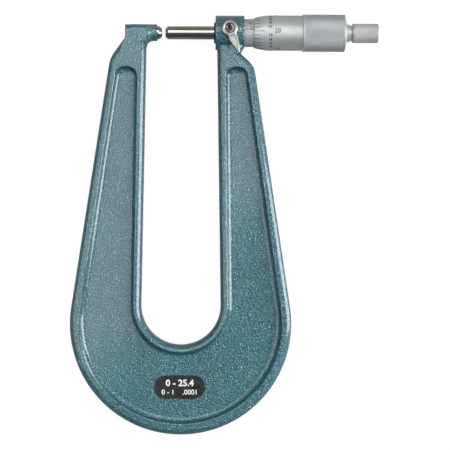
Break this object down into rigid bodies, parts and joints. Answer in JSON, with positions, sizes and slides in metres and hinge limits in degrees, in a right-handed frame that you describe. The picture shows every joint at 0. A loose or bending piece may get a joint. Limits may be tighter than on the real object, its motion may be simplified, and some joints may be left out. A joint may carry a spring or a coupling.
{
  "type": "deep throat micrometer",
  "caption": "C-shaped deep throat outside micrometer with screw spindle, graduated thimble, ratchet stop and lever spindle lock.",
  "frame": {"origin": "centre of the anvil's measuring face", "axes": "+X along the spindle axis towards the thimble, +Y from the throat's bottom towards the spindle, +Z out of the side with the lock lever"},
  "size_m": [0.1496, 0.2047, 0.0189],
  "materials": {
    "hammered_paint": "teal hammered enamel on cast iron",
    "plate_black": "black anodised plate, satin",
    "ground_steel": "ground and lapped",
    "carbide": "lapped carbide",
    "satin_chrome": "satin chrome plated",
    "sleeve_steel": "turned steel",
    "knob_satin": "matt satin chrome",
    "black_steel": "black oxide",
    "seal_black": "black nitrile rubber",
    "spring_steel": "drawn wire",
    "pad_brass": "turned brass"
  },
  "bodies": {
    "frame": {"frame": "hammered_paint", "name_plate": "plate_black", "anvil": "ground_steel", "anvil_tip": "carbide", "inner_sleeve": "sleeve_steel", "wiper_ring": "seal_black", "outer_sleeve": "satin_chrome", "adjusting_nut": "sleeve_steel"},
    "carriage": {"thimble_cap": "satin_chrome"},
    "screw": {"spindle": "ground_steel", "spindle_tip": "carbide", "thimble": "satin_chrome", "ratchet_shaft": "satin_chrome", "ratchet_spring": "spring_steel", "ratchet_click": "sleeve_steel", "ratchet_screw": "sleeve_steel"},
    "knob": {"ratchet_knob": "knob_satin"},
    "lever": {"lock_lever": "satin_chrome", "lock_screw": "black_steel"},
    "pad": {"lock_pad": "pad_brass"}
  },
  "joints": [
    {"name": "spindle_travel", "type": "slide", "parent": "frame", "child": "carriage", "axis": [1, 0, 0], "range_m": [-0.00178, 0.02361]},
    {"name": "thimble_turn", "type": "hinge", "parent": "carriage", "child": "screw", "pos_m": [0, 0, 0], "axis": [1, 0, 0], "range_deg": [-1009.18, 13385.25]},
    {"name": "ratchet_turn", "type": "hinge", "parent": "screw", "child": "knob", "pos_m": [0.1, 0, 0], "axis": [1, 0, 0], "continuous": true},
    {"name": "lock_lever_turn", "type": "hinge", "parent": "frame", "child": "lever", "pos_m": [0.0331, 0.0011, 0.0072], "axis": [0, 0, 1], "range_deg": [-40, 0]},
    {"name": "lock_pad_travel", "type": "slide", "parent": "frame", "child": "pad", "axis": [0, 0, -1], "range_m": [0, 0.000055656]}
  ],
  "couplings": [
    {"joint": "thimble_turn", "follows": "spindle_travel", "rad_per_m": 9894.8},
    {"joint": "lock_pad_travel", "follows": "lock_lever_turn", "m_per_rad": -0.000079577}
  ]
}
